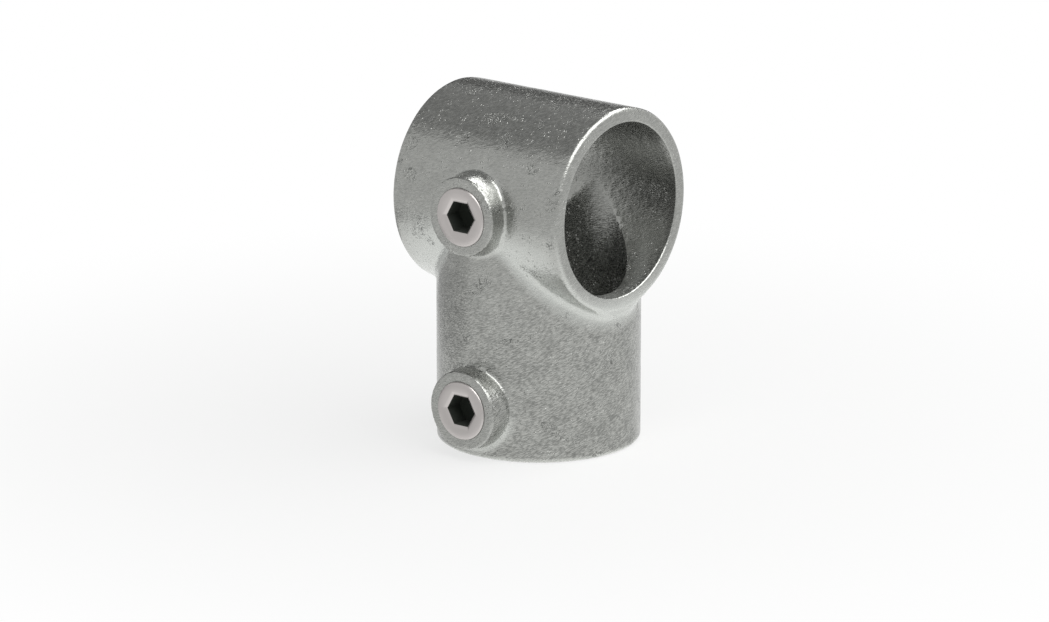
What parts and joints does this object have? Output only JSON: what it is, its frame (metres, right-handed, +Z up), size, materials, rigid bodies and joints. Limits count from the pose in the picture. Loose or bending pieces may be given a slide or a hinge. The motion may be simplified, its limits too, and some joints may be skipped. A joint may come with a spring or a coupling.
{
  "type": "tube clamp tee fitting",
  "caption": "Cast tee fitting that joins a round tube square to another running through it, with a hexagon-socket set screw to grip each.",
  "frame": {"origin": "where the axis of the crossing socket meets the axis of the upright socket", "axes": "+X along the crossing socket, +Z up along the upright socket's axis and away from its open end, -Y the way both set screws face"},
  "size_m": [0.0586, 0.0628, 0.098],
  "materials": {
    "galvanised_iron": "hot-dip galvanised, finely mottled satin",
    "set_screw_steel": "plated steel, smooth satin"
  },
  "bodies": {
    "casting": {"tee_casting": "galvanised_iron"},
    "upper_screw": {"upper_set_screw": "set_screw_steel"},
    "lower_screw": {"lower_set_screw": "set_screw_steel"}
  },
  "joints": [
    {"name": "upper_screw_travel", "type": "slide", "parent": "casting", "child": "upper_screw", "axis": [0, -1, 0], "range_m": [-0.0015, 0.006]},
    {"name": "lower_screw_travel", "type": "slide", "parent": "casting", "child": "lower_screw", "axis": [0, -1, 0], "range_m": [-0.0015, 0.006]}
  ]
}
